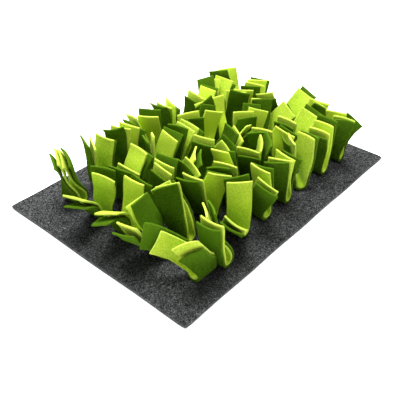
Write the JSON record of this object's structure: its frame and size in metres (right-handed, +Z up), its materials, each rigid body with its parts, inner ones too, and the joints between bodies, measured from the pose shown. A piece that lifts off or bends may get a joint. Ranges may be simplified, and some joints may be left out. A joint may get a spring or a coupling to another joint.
{
  "type": "snuffle mat",
  "caption": "Rectangular charcoal felt mat covered in folded tufts of dark green and lime green felt strips, for hiding dry pet treats.",
  "frame": {"origin": "centre of the base sheet's underside, on the surface that it lies on", "axes": "+X along the long side of the mat, +Y along its short side, +Z up"},
  "size_m": [0.5, 0.35, 0.0999],
  "materials": {
    "charcoal_felt": "mottled needled felt",
    "dark_felt": "soft matt felt",
    "lime_felt": "soft matt felt"
  },
  "bodies": {
    "root": {"base_sheet": "charcoal_felt", "dark_strip_00": "dark_felt", "dark_strip_01": "dark_felt", "dark_strip_02": "dark_felt", "dark_strip_03": "dark_felt", "dark_strip_04": "dark_felt", "dark_strip_05": "dark_felt", "dark_strip_06": "dark_felt", "dark_strip_07": "dark_felt", "dark_strip_10": "dark_felt", "dark_strip_11": "dark_felt", "dark_strip_12": "dark_felt", "dark_strip_13": "dark_felt", "dark_strip_14": "dark_felt", "dark_strip_15": "dark_felt", "dark_strip_16": "dark_felt", "dark_strip_17": "dark_felt", "dark_strip_20": "dark_felt", "dark_strip_21": "dark_felt", "dark_strip_22": "dark_felt", "dark_strip_23": "dark_felt", "dark_strip_24": "dark_felt", "dark_strip_25": "dark_felt", "dark_strip_26": "dark_felt", "dark_strip_27": "dark_felt", "dark_strip_30": "dark_felt", "dark_strip_31": "dark_felt", "dark_strip_32": "dark_felt", "dark_strip_33": "dark_felt", "dark_strip_34": "dark_felt", "dark_strip_35": "dark_felt", "dark_strip_36": "dark_felt", "dark_strip_37": "dark_felt", "dark_strip_40": "dark_felt", "dark_strip_41": "dark_felt", "dark_strip_42": "dark_felt", "dark_strip_43": "dark_felt", "dark_strip_44": "dark_felt", "dark_strip_45": "dark_felt", "dark_strip_46": "dark_felt", "dark_strip_47": "dark_felt", "lime_strip_00": "lime_felt", "lime_strip_01": "lime_felt", "lime_strip_02": "lime_felt", "lime_strip_03": "lime_felt", "lime_strip_04": "lime_felt", "lime_strip_05": "lime_felt", "lime_strip_06": "lime_felt", "lime_strip_07": "lime_felt", "lime_strip_10": "lime_felt", "lime_strip_20": "lime_felt", "lime_strip_30": "lime_felt", "lime_strip_40": "lime_felt", "lime_strip_41": "lime_felt", "lime_strip_42": "lime_felt", "lime_strip_43": "lime_felt", "lime_strip_44": "lime_felt", "lime_strip_45": "lime_felt", "lime_strip_46": "lime_felt", "lime_strip_47": "lime_felt"}
  },
  "joints": []
}
